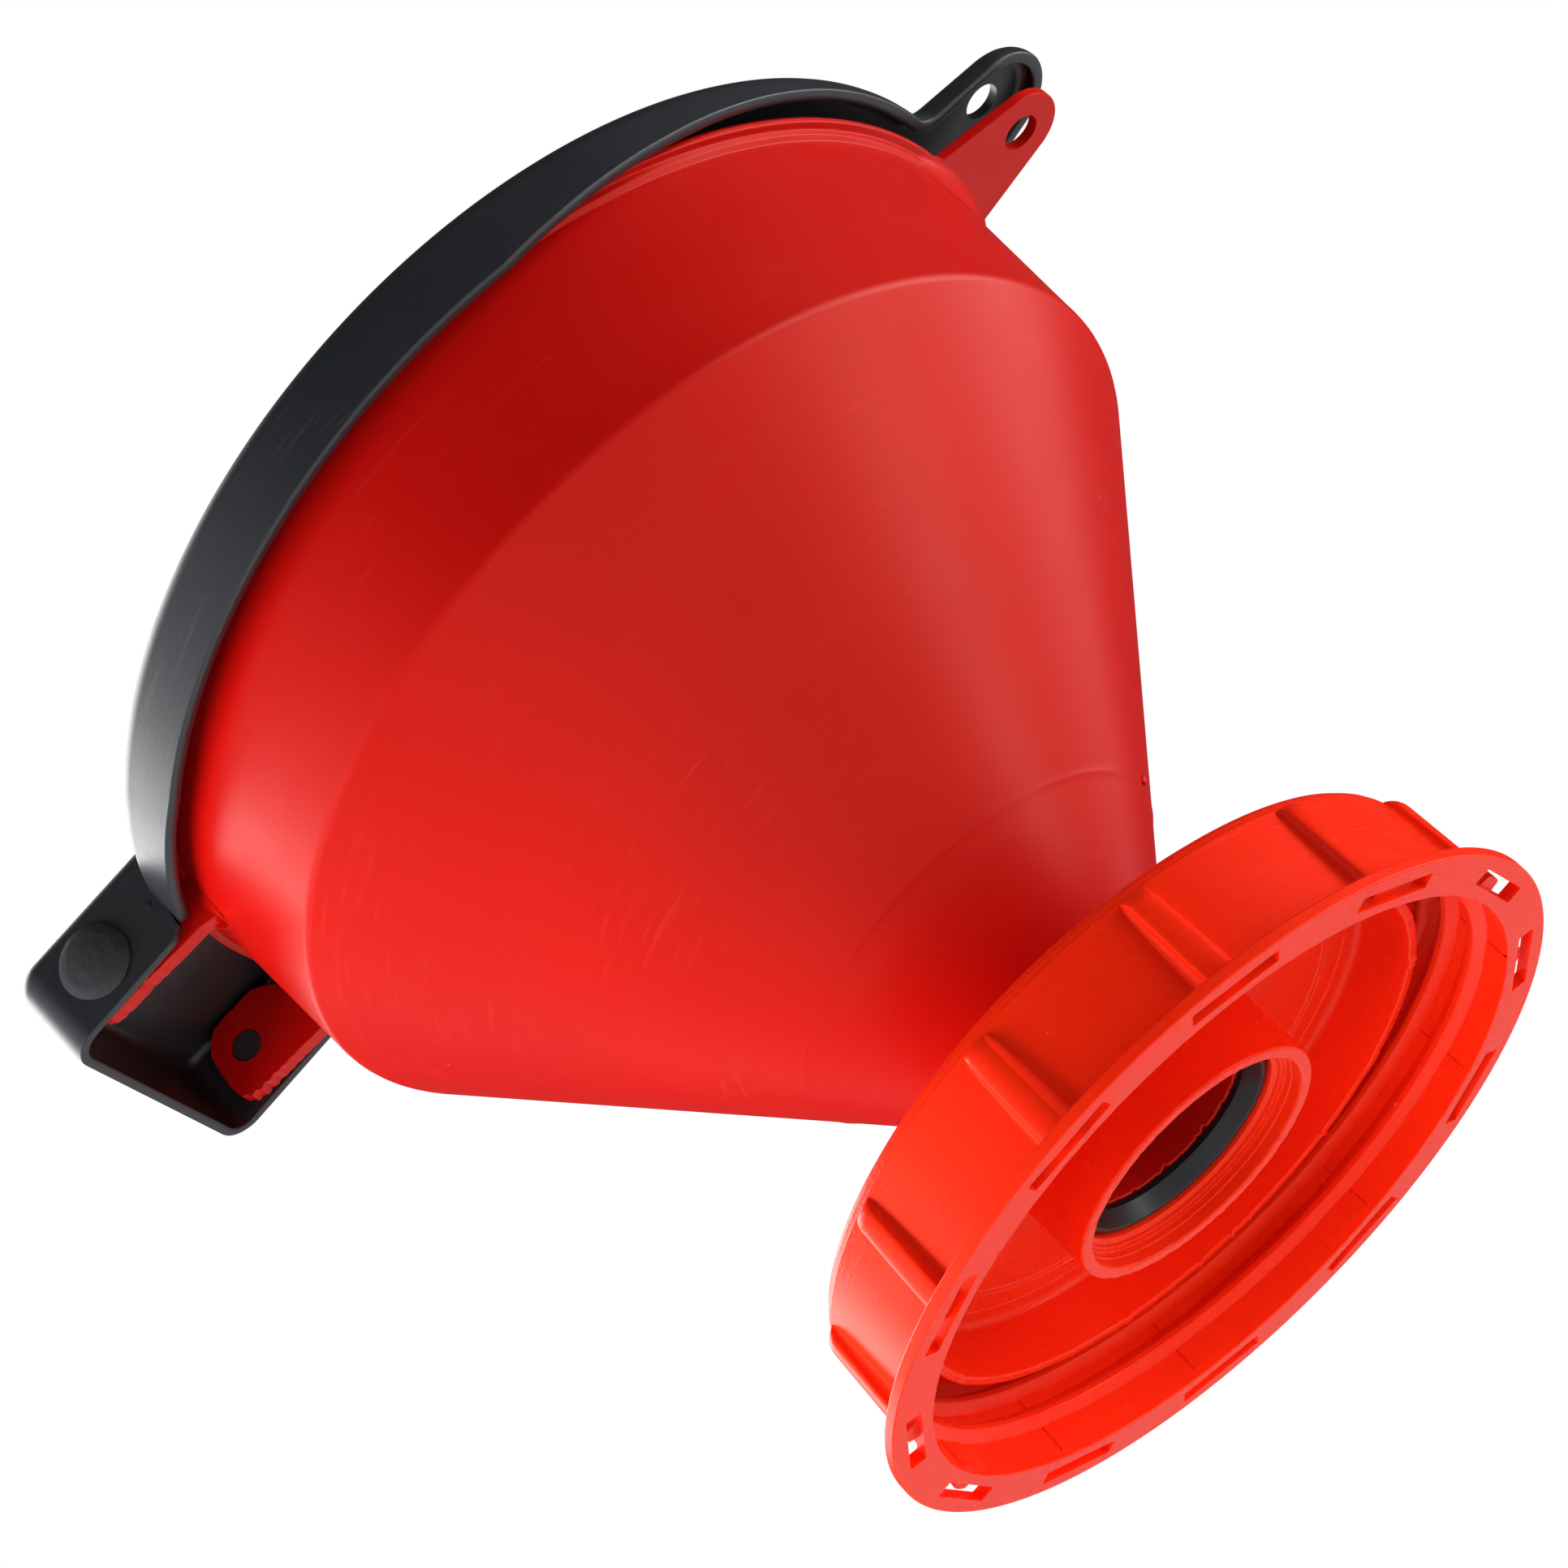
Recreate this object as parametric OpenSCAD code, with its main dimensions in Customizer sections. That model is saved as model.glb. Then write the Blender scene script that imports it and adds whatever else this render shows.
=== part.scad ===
// Drum and tote filling funnel with a lockable hinged lid and a swivelling tank cap.
// Millimetres. Origin: funnel axis at the lower face of the cap flange. +Z up to the lid.
// The hinge is on the -X side, the padlock ears are on the +X side.

/* [Cap] */
// outer radius of the cap flange
flange_r = 96; // [90:0.5:105]
// thickness of the cap flange
flange_t = 3; // [2:0.1:5]
// radius of the cap mouth and of the wall between thread turns
mouth_r = 84.6; // [84:0.1:85]
// radius of the cap thread crests
crest_r = 81.8; // [78:0.1:84]
// outer radius of the cap wall
wall_out_r = 86.6; // [86.5:0.1:88]
// height of the cap top face
cap_top_z = 37; // [30:0.5:45]
// height of the first thread crest
crest_z = 6.8; // [5:0.1:8]
// distance between thread crests
thread_pitch = 8.7; // [6:0.1:10]
// radius of the rounded grip ribs
rib_r = 3.1; // [2:0.1:4]
// number of grip ribs and flange slots
rib_count = 12; // [6:1:16]
// turn of the first rib from +X
rib_phase = -9; // [-30:1:30]
// radial width of a flange slot
slot_w = 4.3; // [3:0.1:6]
// length of a flange slot
slot_l = 23.5; // [10:0.5:26]
// outer radius of the hub tube
hub_out_r = 34.2; // [32:0.1:36]
// inner radius of the hub tube mouth
hub_in_r = 30.8; // [28:0.1:32]
// height of the hub tube lower end
hub_end_z = 9.5; // [5:0.5:15]
// radius of the running bore in the cap top
cap_bore_r = 25.75; // [24:0.05:27]
// outer radius of the sealing ring wall inside the cap
plug_out_r = 73.4; // [72:0.1:75]
// inner radius of the sealing ring wall inside the cap
plug_in_r = 70.8; // [69:0.1:72]
// height of the lower end of the sealing ring wall
plug_end_z = 17.1; // [12:0.1:25]

/* [Funnel] */
// outer radius of the spout
spout_r = 25.7; // [24:0.05:27]
// inner radius of the spout
spout_in_r = 23.3; // [20:0.1:24]
// height of the spout lower end
spout_end_z = 22.6; // [18:0.1:26]
// radius of the thrust shoulder above the cap
thrust_r = 33; // [30:0.5:36]
// half angle of the cone
cone_angle = 37.85; // [30:0.05:45]
// height where the cone outer line would reach the axis
cone_apex_z = 15.6; // [10:0.1:20]
// wall thickness
wall_t = 2.8; // [2:0.1:4]
// radius of the crease between shoulder and collar
crease_r = 123.4; // [118:0.1:128]
// height of the crease
crease_z = 177.2; // [170:0.1:185]
// rounding radius of the shoulder
shoulder_r = 16; // [6:1:30]
// radius of the collar under the lip
collar_top_r = 125.8; // [123:0.1:128]
// outer radius of the lip
lip_r = 129.5; // [127:0.1:131]
// height of the lip top face
lip_top_z = 230.2; // [225:0.1:235]
// thickness of the lip
lip_t = 2.6; // [2:0.1:4]

/* [Padlock ears] */
// distance of the ear hole from the axis
ear_x = 148.7; // [145:0.1:152]
// radius of the ear end
ear_r = 11.3; // [9:0.1:12]
// half width of the ear at its root
ear_root = 18.5; // [14:0.5:22]
// thickness of the ear
ear_t = 2.8; // [2:0.1:4]
// radius of the padlock holes
lock_hole_r = 5; // [4:0.1:5.5]
// outer radius of the lid tab end
tab_r = 15.2; // [15:0.1:18]
// half width of the lid tab at its root
tab_root = 22; // [21:0.5:26]
// distance of the lid tab end centre from the axis
tab_x = 150.2; // [149:0.1:152]
// height of the skirt lower edge where it meets the lid tab
tab_root_z = 225.4; // [222:0.1:226]
// height of the lower edge of the lid tab tip
tab_tip_z = 227.6; // [226:0.1:229]

/* [Lid] */
// outer radius of the lid skirt
skirt_r = 134.2; // [133:0.1:138]
// wall thickness of the lid
lid_t = 2.4; // [2:0.1:3]
// height of the lid top face when shut
lid_top_z = 233.2; // [232:0.1:240]
// height of the skirt lower edge when shut
skirt_low_z = 211.9; // [208:0.1:220]
// rounding radius of the lid top edge
lid_round = 5.6; // [4:0.1:8]
// angle of the lid above its shut position
lid_open = 2.1; // [0:0.1:95]

/* [Hinge] */
// distance of the hinge axis from the funnel axis
hinge_x = 148.2; // [145:0.1:152]
// height of the hinge axis
hinge_z = 225.7; // [220:0.1:230]
// half width of the hinge box outside
box_y = 43; // [38:0.5:48]
// outer end of the hinge box
box_x = 168; // [164:0.5:172]
// height of the hinge box roof
box_top_z = 240; // [238:0.5:244]
// height of the hinge box lower edge
box_low_z = 212.5; // [210:0.1:216]
// wall thickness of the hinge box
box_t = 2.5; // [2:0.1:3]
// inner face of a hinge lug
lug_y = 34.8; // [30:0.1:35]
// thickness of a hinge lug
lug_t = 5; // [4:0.1:5]
// rounding radius of a hinge lug
lug_r = 11; // [9:0.1:11.4]
// lower edge of the hinge lugs
lug_low_z = 213.2; // [213:0.1:216]
// radius of the bore in a lug
lug_bore_r = 4.28; // [4:0.01:5]
// radius of a hinge pin
pin_r = 4.2; // [4:0.01:5]
// radius of a pin head
pin_head_r = 9.6; // [7:0.1:11]
// height of the pin head dome
pin_dome = 2.2; // [1:0.1:4]

/* [Seals] */
// outer radius of the outlet seal
seal_r = 27.4; // [26:0.1:27.7]
// height of the outlet seal lower face
seal_low_z = 17; // [16:0.1:20]
// height of the outlet seal upper face
seal_top_z = 27.3; // [24:0.1:27.3]
// thickness of the tank gasket
gasket_t = 2.2; // [1.5:0.1:3]
// outer radius of the tank gasket
gasket_out_r = 80.2; // [79:0.1:81]
// inner radius of the tank gasket
gasket_in_r = 74.2; // [73.6:0.1:76]

/* [Hidden] */
$fn = 128;
eps = 0.5;
red = [0.80, 0.07, 0.05];
orange = [0.93, 0.20, 0.11];
black = [0.10, 0.11, 0.12];
rubber = [0.05, 0.05, 0.05];
foam = [0.91, 0.87, 0.84];
cone_slope = tan(cone_angle);
skirt_in_r = skirt_r - lid_t;
lid_in_z = lid_top_z - lid_t;
box_corner = 7;
box_l = 57;
cap_round = 5.5;
step_d = 0.4;
tab_t = 2.2;
slot_r = 89.7;
counter_r = 28;
counter_z = 27.6;
groove_z = 33.8;
rib_foot_r = 87.6;
rib_lean = 2.4;
rib_l = 26.8;
thrust_low_z = cap_top_z + 0.3;
thrust_top_z = cap_top_z + 4;
neck_r = spout_r + 0.6;
mould_ring_r = 52;
lip_step_z = lip_top_z - lip_t - 0.7;
ear_low_z = lip_top_z - ear_t;
ear_gusset = 4.5;
ear_gusset_half = 7.5;
lip_root_x = 129.5;
lug_foot_x = 116;
lug_web_x = 130;
lug_heel = 4.5;
lug_heel_r = 5;
tray_x = 35;
tray_end_x = 126;
tab_end_x = 167;
cut_x = 104;
cut_end_x = 124.6;
cut_z = 215.6;
plate_z = 32.8;
plate_edge = 59.4;
plate_dip = 1.3;

function arc(cx, cz, r, a0, a1, n) =
    [for (i = [0:n]) [cx + r * cos(a0 + (a1 - a0) * i / n), cz + r * sin(a0 + (a1 - a0) * i / n)]];

// outer cone radius at a height
function cone_at(z) = (z - cone_apex_z) * cone_slope;

// point where a line from p touches the circle of radius r centred at [cx, 0]
function touch(p, cx, r) =
    let (d = norm([p[0] - cx, p[1]]), base = atan2(p[1], p[0] - cx), a = acos(r / d))
    [cx + r * cos(base - a), r * sin(base - a)];

// distance of the crease inside the cone line
crease_in = (cone_at(crease_z) - crease_r) * cos(cone_angle);
crease_a = acos((shoulder_r - crease_in) / shoulder_r) - cone_angle;
sh_x = crease_r - shoulder_r * cos(crease_a);
sh_z = crease_z - shoulder_r * sin(crease_a);

// flat drop shape with a round end, drawn from the funnel towards +X; its sides run just inside the
// end circle's tangents, so that they cross it cleanly
module drop(cx, r, root) {
    t = touch([122, root], cx, r * 0.994);
    polygon([[110, -root], [122, -root], [t[0], -t[1]], [t[0], t[1]], [122, root], [110, root]]);
    translate([cx, 0]) circle(r = r);
}

// profile in X and Z pushed along Y, centred
module side_plate(w) {
    rotate([90, 0, 0]) translate([0, 0, -w / 2]) linear_extrude(height = w) children();
}

module funnel_outside() {
    mould_ring_z = cone_apex_z + mould_ring_r / cone_slope;
    rotate_extrude() polygon(concat(
        [[0, spout_end_z], [spout_r, spout_end_z], [spout_r, thrust_low_z],
         [thrust_r - 0.8, thrust_low_z], [thrust_r, thrust_low_z + 0.8], [thrust_r, thrust_top_z],
         [neck_r, thrust_top_z + 1.5], [neck_r, cone_apex_z + neck_r / cone_slope]],
        [[mould_ring_r, mould_ring_z], [mould_ring_r + 0.25, mould_ring_z],
         [mould_ring_r + 0.55, mould_ring_z + 0.55 / cone_slope]],
        arc(sh_x, sh_z, shoulder_r, -cone_angle, crease_a, 8),
        [[collar_top_r, lip_step_z - 1.7], [collar_top_r + 0.7, lip_step_z],
         [collar_top_r + 2, lip_step_z], [collar_top_r + 2, lip_top_z - lip_t],
         [lip_r - 0.5, lip_top_z - lip_t], [lip_r, lip_top_z - lip_t + 0.5], [lip_r, lip_top_z - 0.6],
         [lip_r - 0.6, lip_top_z], [0, lip_top_z]]));
}

module funnel_inside() {
    t = wall_t;
    in_apex_z = cone_apex_z + t / sin(cone_angle);
    rotate_extrude() polygon(concat(
        [[0, spout_end_z - eps], [spout_in_r, spout_end_z - eps],
         [spout_in_r, in_apex_z + spout_in_r / cone_slope]],
        arc(sh_x, sh_z, shoulder_r - t, -cone_angle, crease_a, 8),
        [[collar_top_r - t, lip_top_z - lip_t], [collar_top_r - t + 0.4, lip_top_z + 20],
         [0, lip_top_z + 20]]));
}

module lug() {
    side_plate(lug_t) difference() {
        union() {
            translate([-hinge_x, hinge_z]) circle(r = lug_r);
            translate([-hinge_x - lug_heel, lug_low_z + lug_heel_r]) circle(r = lug_heel_r);
            polygon([[-hinge_x - lug_heel - lug_heel_r, lug_low_z + lug_heel_r],
                     [-hinge_x - lug_heel, lug_low_z],
                     [-lug_web_x, lug_low_z], [-lug_foot_x, lug_low_z - 9], [-lug_foot_x, lip_top_z - 1],
                     [-lip_root_x, lip_top_z], [-lip_root_x - 4.5, hinge_z + lug_r],
                     [-hinge_x, hinge_z + lug_r], [-hinge_x - lug_r + 0.2, hinge_z]]);
        }
        translate([-hinge_x, hinge_z]) circle(r = lug_bore_r);
    }
}

module funnel_body() {
    color(red) difference() {
        union() {
            funnel_outside();
            translate([0, 0, ear_low_z]) linear_extrude(height = ear_t) difference() {
                drop(ear_x, ear_r, ear_root);
                translate([ear_x, 0]) circle(r = lock_hole_r);
            }
            rotate([0, 0, -ear_gusset_half]) rotate_extrude(angle = 2 * ear_gusset_half) polygon([
                [collar_top_r - 2, ear_low_z - 8], [collar_top_r, ear_low_z - 7],
                [collar_top_r + ear_gusset, ear_low_z + 0.4], [collar_top_r - 2, ear_low_z + 0.4]]);
            for (s = [-1, 1]) translate([0, s * (lug_y + lug_t / 2), 0]) lug();
        }
        funnel_inside();
    }
}

module lid_shell() {
    rotate_extrude() difference() {
        polygon(concat(
            [[0, skirt_low_z], [skirt_r - 0.9, skirt_low_z], [skirt_r, skirt_low_z + 0.9]],
            arc(skirt_r - lid_round, lid_top_z - lid_round, lid_round, 0, 90, 8),
            [[0, lid_top_z]]));
        polygon(concat(
            [[0, skirt_low_z - eps], [skirt_in_r + 0.6, skirt_low_z - eps], [skirt_in_r, skirt_low_z + 0.8]],
            arc(skirt_r - lid_round, lid_top_z - lid_round, lid_round - lid_t, 0, 90, 6),
            [[0, lid_in_z]]));
    }
}

// hinge box block, walls moved inwards by d
module box_block(d, low) {
    translate([0, 0, low]) linear_extrude(height = box_top_z - d - low) {
        for (s = [-1, 1]) translate([-box_x + box_corner, s * (box_y - box_corner)])
            circle(r = box_corner - d);
        translate([-box_x + d, -box_y + box_corner]) square([box_l - 2 * d, 2 * (box_y - box_corner)]);
        translate([-box_x + box_corner, -box_y + d]) square([box_l - box_corner - d, 2 * (box_y - d)]);
    }
}

module lid_shut() {
    difference() {
        union() {
            difference() {
                lid_shell();
                side_plate(300) polygon([
                    [-cut_x, 190], [-cut_x, skirt_low_z], [-cut_end_x, cut_z], [-140, cut_z], [-140, 190]]);
            }
            difference() {
                box_block(0, box_low_z);
                translate([0, 0, box_low_z - 10]) cylinder(r = skirt_in_r, h = lid_in_z - box_low_z + 10);
                side_plate(120) polygon([
                    [-120, 200], [-120, cut_z], [-126, cut_z], [-131, box_low_z], [-131, 200]]);
            }
            translate([0, 0, skirt_low_z]) linear_extrude(height = lid_top_z - skirt_low_z)
                difference() {
                    drop(tab_x, tab_r, tab_root);
                    circle(r = skirt_in_r);
                }
        }
        box_block(box_t, box_low_z - 10);
        translate([0, 0, skirt_low_z - 1]) linear_extrude(height = lid_in_z - skirt_low_z + 1)
            drop(tab_x, tab_r - tab_t, tab_root - tab_t);
        translate([ear_x, 0, lid_in_z - eps]) cylinder(r = lock_hole_r, h = lid_t + 2 * eps);
        side_plate(300) polygon([
            [tray_x, skirt_low_z - 40], [tray_x, skirt_low_z], [tray_end_x, tab_root_z],
            [tab_end_x, tab_tip_z], [180, tab_tip_z],
            [180, skirt_low_z - 40]]);
        for (s = [-1, 1]) translate([-hinge_x, s * box_y, hinge_z]) rotate([90, 0, 0])
            translate([0, 0, -4]) cylinder(r = pin_r, h = 8);
    }
}

// turn a piece drawn with the lid shut to its resting angle
module with_lid() {
    translate([-hinge_x, 0, hinge_z]) rotate([0, -lid_open, 0]) translate([hinge_x, 0, -hinge_z]) children();
}

module lid() {
    color(black) with_lid() lid_shut();
}

// hinge pin with a domed head, head towards +Y
module pin() {
    dome_r = (pin_head_r * pin_head_r + pin_dome * pin_dome) / (2 * pin_dome);
    dome_a = asin(pin_head_r / dome_r);
    translate([-hinge_x, 0, hinge_z]) rotate([-90, 0, 0]) rotate_extrude() polygon(concat(
        [[0, lug_y + 1.4], [pin_r - 0.6, lug_y + 1.4], [pin_r, lug_y + 2], [pin_r, box_y],
         [pin_head_r, box_y], [pin_head_r, box_y + 0.5]],
        arc(0, box_y + 0.5 + pin_dome - dome_r, dome_r, 90 - dome_a, 90, 8)));
}

module hinge_pin_front() {
    color(black) with_lid() mirror([0, 1, 0]) pin();
}

module hinge_pin_rear() {
    color(black) with_lid() pin();
}

// one thread turn of the cap drawn as a closed ridge
function ridge(z) = [[mouth_r, z - 2.1], [crest_r, z], [crest_r, z + 1.2], [mouth_r, z + 3.8]];

module cap_shell() {
    round_z = cap_top_z - cap_round;
    round_x = wall_out_r - cap_round;
    rotate_extrude() polygon(concat(
        [[mouth_r, 0], [flange_r - 0.4, 0], [flange_r, 0.4], [flange_r, flange_t - 0.5],
         [flange_r - 0.5, flange_t], [wall_out_r + 0.8, flange_t], [wall_out_r, flange_t + 0.8]],
        arc(round_x, round_z, cap_round, 0, 30, 3),
        arc(round_x, round_z, cap_round - step_d, 30, 58, 3),
        arc(round_x - step_d, round_z, cap_round - step_d, 58, 90, 3),
        [[72, cap_top_z - step_d], [70, cap_top_z - plate_dip], [40, cap_top_z - plate_dip], [39, cap_top_z],
         [cap_bore_r + 0.6, cap_top_z], [cap_bore_r, cap_top_z - 0.6], [cap_bore_r, counter_z],
         [counter_r, counter_z], [counter_r, 16.4], [29.4, 15.6], [29.4, 15.0], [30.1, 14.8],
         [30.1, 14.2], [hub_in_r, 14.2], [hub_in_r, hub_end_z + 0.8], [hub_in_r + 0.8, hub_end_z],
         [hub_out_r - 0.8, hub_end_z], [hub_out_r, hub_end_z + 0.8], [hub_out_r, 31.4],
         [hub_out_r + 2, plate_z + 0.6], [plate_edge, plate_z + 0.6], [plate_edge + 0.6, plate_z],
         [plug_in_r - 2.2, plate_z], [plug_in_r, plate_z - 2.2],
         [plug_in_r, plug_end_z + 0.6], [plug_in_r + 0.6, plug_end_z], [plug_out_r - 0.6, plug_end_z],
         [plug_out_r, plug_end_z + 0.6], [plug_out_r, groove_z], [80.6, groove_z], [83.6, 31],
         [mouth_r, 28.6]],
        [for (k = [2, 1, 0]) for (j = [3, 2, 1, 0]) ridge(crest_z + k * thread_pitch)[j]]));
}

// grip rib with a rounded top end, leaning in with the wall
module rib() {
    translate([rib_foot_r, 0, flange_t - 0.8]) rotate([0, -rib_lean, 0]) union() {
        cylinder(r = rib_r, h = rib_l);
        translate([0, 0, rib_l]) sphere(r = rib_r);
    }
}

module around_cap() {
    for (i = [0:rib_count - 1]) rotate([0, 0, rib_phase + i * 360 / rib_count]) children();
}

module screw_cap() {
    color(orange) union() {
        difference() {
            cap_shell();
            around_cap() translate([slot_r - slot_w / 2, -slot_l / 2, -1])
                cube([slot_w, slot_l, flange_t + 1.5]);
        }
        difference() {
            around_cap() rib();
            translate([0, 0, -1]) cylinder(r = (mouth_r + wall_out_r) / 2, h = cap_top_z);
        }
    }
}

module outlet_seal() {
    color(rubber) rotate_extrude() polygon([
        [spout_in_r + 0.5, spout_end_z - 1.6], [26, seal_low_z + 0.5], [26.5, seal_low_z],
        [seal_r - 0.5, seal_low_z], [seal_r, seal_low_z + 0.5], [seal_r, seal_top_z - 0.4],
        [seal_r - 0.4, seal_top_z], [spout_r, seal_top_z], [spout_r, spout_end_z],
        [spout_in_r + 0.5, spout_end_z]]);
}

module tank_gasket() {
    color(foam) translate([0, 0, groove_z - gasket_t]) difference() {
        cylinder(r = gasket_out_r, h = gasket_t);
        translate([0, 0, -1]) cylinder(r = gasket_in_r, h = gasket_t + 2);
    }
}

funnel_body();
lid();
hinge_pin_front();
hinge_pin_rear();
screw_cap();
outlet_seal();
tank_gasket();
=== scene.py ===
import math

import bmesh
import bpy
import numpy as np
from mathutils import Matrix, Vector, noise


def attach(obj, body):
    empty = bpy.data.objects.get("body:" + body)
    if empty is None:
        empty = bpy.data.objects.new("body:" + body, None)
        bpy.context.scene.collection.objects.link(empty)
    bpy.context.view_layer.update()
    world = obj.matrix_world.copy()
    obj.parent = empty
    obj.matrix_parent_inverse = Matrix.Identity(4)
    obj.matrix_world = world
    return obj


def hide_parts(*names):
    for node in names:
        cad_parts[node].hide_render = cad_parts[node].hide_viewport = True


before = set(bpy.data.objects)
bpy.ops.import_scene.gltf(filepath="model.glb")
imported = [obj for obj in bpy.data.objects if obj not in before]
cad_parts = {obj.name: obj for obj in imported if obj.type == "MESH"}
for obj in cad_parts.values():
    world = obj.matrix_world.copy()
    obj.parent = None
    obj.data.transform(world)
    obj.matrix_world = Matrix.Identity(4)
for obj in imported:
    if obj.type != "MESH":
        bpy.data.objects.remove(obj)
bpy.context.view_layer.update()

# Outlines below are in millimetres: radius or x first, then height or y. Pieces are made in metres.
MM = 0.001
TAU = 2 * math.pi
STEPS = 360

# driving dimensions, the same as the CAD model's
SPOUT_R, SPOUT_IN_R, SPOUT_END, BEAD_R, MOULD_RING_R, GATE_Z = 25.7, 23.3, 22.6, 33.0, 52.6, 84.8
CONE_SLOPE, CONE_APEX, WALL = math.tan(math.radians(37.85)), 15.6, 2.8
CREASE_R, CREASE_Z, SHOULDER_R = 123.4, 177.2, 16.0
COLLAR_R, LIP_R, LIP_TOP, LIP_T = 125.8, 129.5, 230.2, 2.6
CAP_TOP, CAP_ROOF, FLANGE_R, FLANGE_T, MOUTH_R, WALL_R = 37.0, 33.8, 96.0, 3.0, 84.6, 86.6
CREST_R, PITCH, TURNS, RIBS, RIB_PHASE, RIB_TOP = 81.8, 8.7, 2.3, 12, -9.0, 31.6
SLOT_IN_R, SLOT_OUT_R, SLOT_HALF = 87.55, 91.85, 11.75
HUB_IN_R, HUB_R, HUB_LOW, POCKET_R, POCKET_LOW, POCKET_TOP = 30.8, 34.2, 9.5, 28.0, 16.3, 27.7
RING_IN_R, RING_R, RING_LOW = 70.8, 73.4, 17.1
ROOT_X, EAR_X, EAR_R, EAR_ROOT, EAR_T, LOCK_R = 122.0, 148.7, 11.3, 18.5, 2.8, 5.0
TAB_X, TAB_R, TAB_ROOT = 150.2, 15.2, 22.0
SKIRT_R, LID_T, LID_TOP, SKIRT_LOW, LID_ROUND = 134.2, 2.4, 233.2, 211.9, 5.6
HINGE = Vector((-148.2, 0, 225.7))
BOX_X, BOX_Y, BOX_TOP, BOX_LOW, BOX_T, BOX_IN_X = 168.0, 43.0, 240.0, 212.5, 2.5, 111.0
LUG_Y, LUG_T, LUG_LOW, LUG_TOP, LUG_HOLE_R = 34.8, 5.0, 213.4, 236.4, 4.3
PIN_R, PIN_START, HEAD_R, HEAD_LOW = 4.2, 35.4, 9.5, 7.6
LID_OPEN = math.radians(2.1)
LID_TURN = Matrix.Translation(HINGE) @ Matrix.Rotation(-LID_OPEN, 4, "Y") @ Matrix.Translation(-HINGE)


# ---------------------------------------------------------------- outlines

def rounded(points, fine=7):
    """Closed outline of (x, y, radius) corners, each rounded by an arc of that radius."""
    made = []
    count = len(points)
    for i, (x, y, radius) in enumerate(points):
        here = np.array((x, y), float)
        back = np.array(points[i - 1][:2], float) - here
        ahead = np.array(points[(i + 1) % count][:2], float) - here
        room = 0.49 * min(np.linalg.norm(back), np.linalg.norm(ahead))
        back, ahead = back / np.linalg.norm(back), ahead / np.linalg.norm(ahead)
        half = math.acos(max(-1, min(1, back @ ahead))) / 2
        if radius <= 0 or half > 1.5 or half < 0.02:
            made.append(here)
            continue
        leg = min(radius / math.tan(half), room)
        radius = leg * math.tan(half)
        middle = here + (back + ahead) / np.linalg.norm(back + ahead) * radius / math.sin(half)
        start, end = here + back * leg - middle, here + ahead * leg - middle
        turn = math.pi - 2 * half
        steps = max(2, round(fine * turn / (math.pi / 2)))
        for k in range(steps + 1):
            t = k / steps
            mix = math.sin((1 - t) * turn) * start + math.sin(t * turn) * end
            made.append(middle + mix / math.sin(turn))
    return np.array(made)


def spread(outline, step):
    """The closed outline with no gap between its points wider than step."""
    made = []
    for a, b in zip(outline, np.roll(outline, -1, 0)):
        count = max(1, math.ceil(np.linalg.norm(b - a) / step))
        made += [a + (b - a) * k / count for k in range(count)]
    return np.array(made)


def outward(outline):
    """Unit normals of a counter-clockwise closed outline, pointing out."""
    along = np.roll(outline, -1, 0) - np.roll(outline, 1, 0)
    along /= np.linalg.norm(along, axis=1)[:, None]
    return np.stack([along[:, 1], -along[:, 0]], 1)


def heading(way):
    """Angle of a flat direction from +X."""
    return math.atan2(way[1], way[0])


def arc(middle, radius, start, end, count):
    """Points along a flat arc, both ends included."""
    return [np.array((middle[0] + radius * math.cos(a), middle[1] + radius * math.sin(a)))
            for a in np.linspace(start, end, count)]


def drop_tangent(centre, radius, root):
    """Where the line from (ROOT_X, root) touches the circle of that radius round (centre, 0)."""
    run = np.array((ROOT_X - centre, root))
    turn = heading(run) - math.acos(radius / np.linalg.norm(run))
    return np.array((centre + radius * math.cos(turn), radius * math.sin(turn))), turn


def drop(centre, radius, root, inner_x=112.0):
    """Counter-clockwise flat drop outline with its round end towards +X."""
    turn = drop_tangent(centre, radius, root)[1]
    end = arc((centre, 0), radius, -turn, turn, 40)
    return np.array([(inner_x, -root), (ROOT_X, -root), *end, (ROOT_X, root), (inner_x, root)])


def at_height(outline, z):
    """The flat outline at one height, or at a height for each point."""
    return np.column_stack([outline, np.broadcast_to(z, len(outline))])


def at_angle(a, r, z):
    """Points of radius r and height z, turned to an angle about the axis."""
    return np.stack([r * math.cos(a), r * math.sin(a), z], 1)


# ---------------------------------------------------------------- meshes

def new_object(name, points, faces):
    """Mesh object from points in millimetres, with its faces turned outwards."""
    mesh = bpy.data.meshes.new(name)
    mesh.from_pydata([tuple(p) for p in np.asarray(points) * MM], [], faces)
    made = bmesh.new()
    made.from_mesh(mesh)
    bmesh.ops.recalc_face_normals(made, faces=made.faces)
    made.to_mesh(mesh)
    made.free()
    obj = bpy.data.objects.new(name, mesh)
    bpy.context.scene.collection.objects.link(obj)
    return obj


def loft(name, rings, tube=False):
    """Closed solid through rings of equal length: capped at both ends, or joined last to first as a tube."""
    size, count = len(rings[0]), len(rings)
    faces = []
    for i in range(count if tube else count - 1):
        j = (i + 1) % count
        for k in range(size):
            m = (k + 1) % size
            faces.append((i * size + k, i * size + m, j * size + m, j * size + k))
    if not tube:
        faces += [tuple(range(size)), tuple(range((count - 1) * size, count * size))]
    return new_object(name, np.concatenate(rings), faces)


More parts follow.
